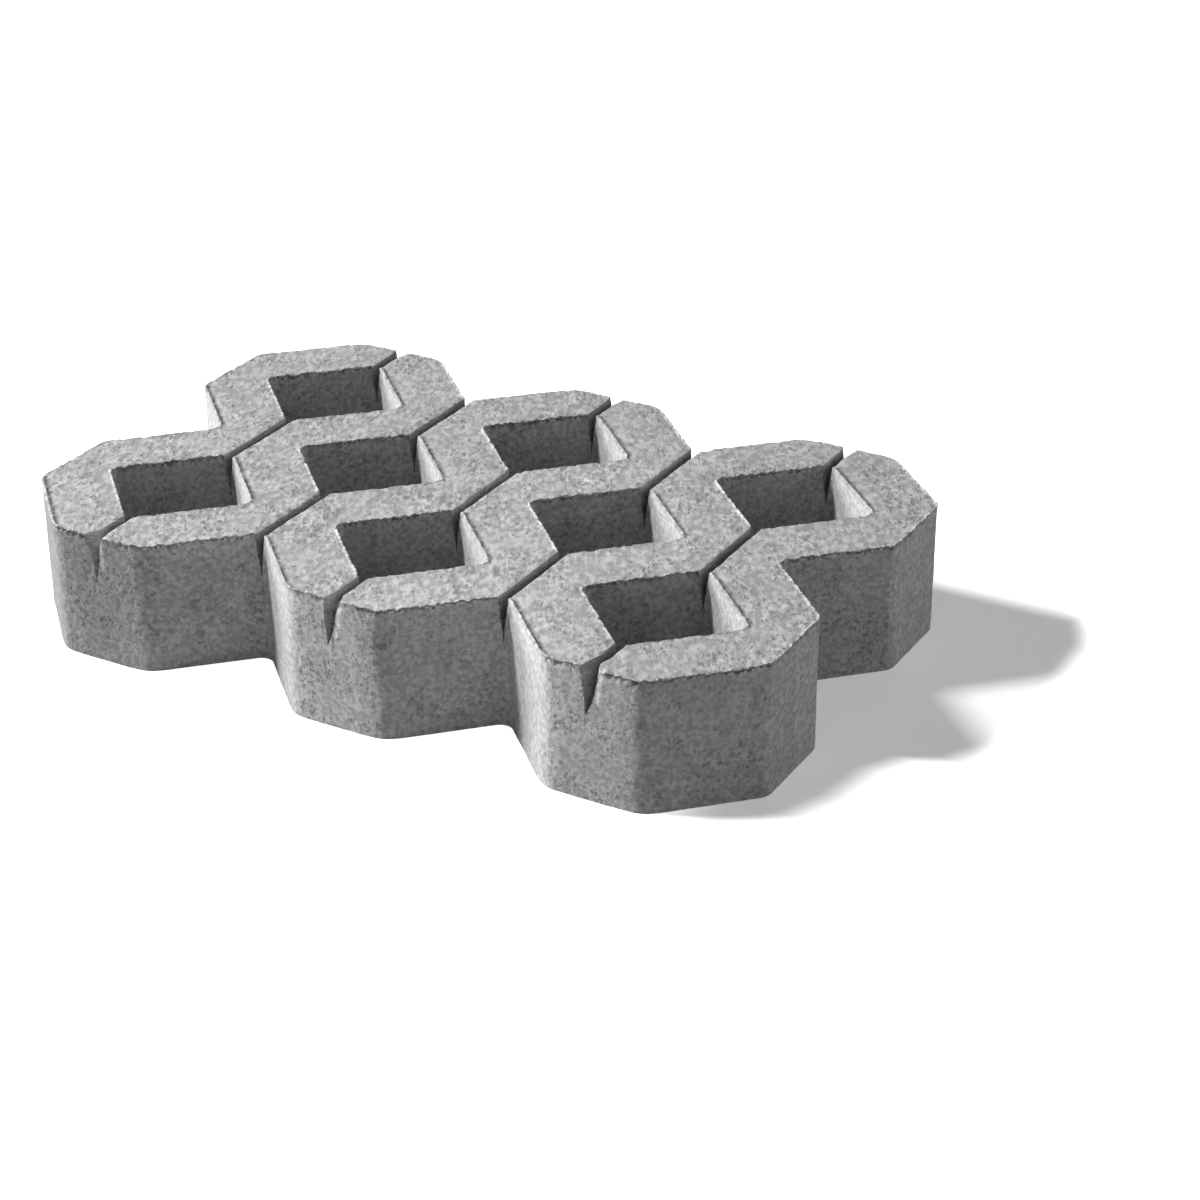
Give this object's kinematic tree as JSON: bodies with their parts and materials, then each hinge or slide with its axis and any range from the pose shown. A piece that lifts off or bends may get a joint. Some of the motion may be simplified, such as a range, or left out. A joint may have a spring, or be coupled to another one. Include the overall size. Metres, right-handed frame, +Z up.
{
  "type": "grass paver",
  "caption": "Cast concrete grass paver: a rectangular slab of zigzag ribs round square soil openings set on their corners, parted by tapered grooves, with a scalloped outline.",
  "frame": {"origin": "middle of the flat underside, in the plane of the bed", "axes": "+X along the 600 mm length, +Y across the 400 mm width and along the grooves, +Z up to the wearing face"},
  "size_m": [0.598, 0.398, 0.1],
  "materials": {
    "concrete": "Grey dry-cast concrete, matt and granular, with dark and light sand grains, small pores and worn rims."
  },
  "bodies": {
    "root": {"paver_block": "concrete"}
  },
  "joints": []
}
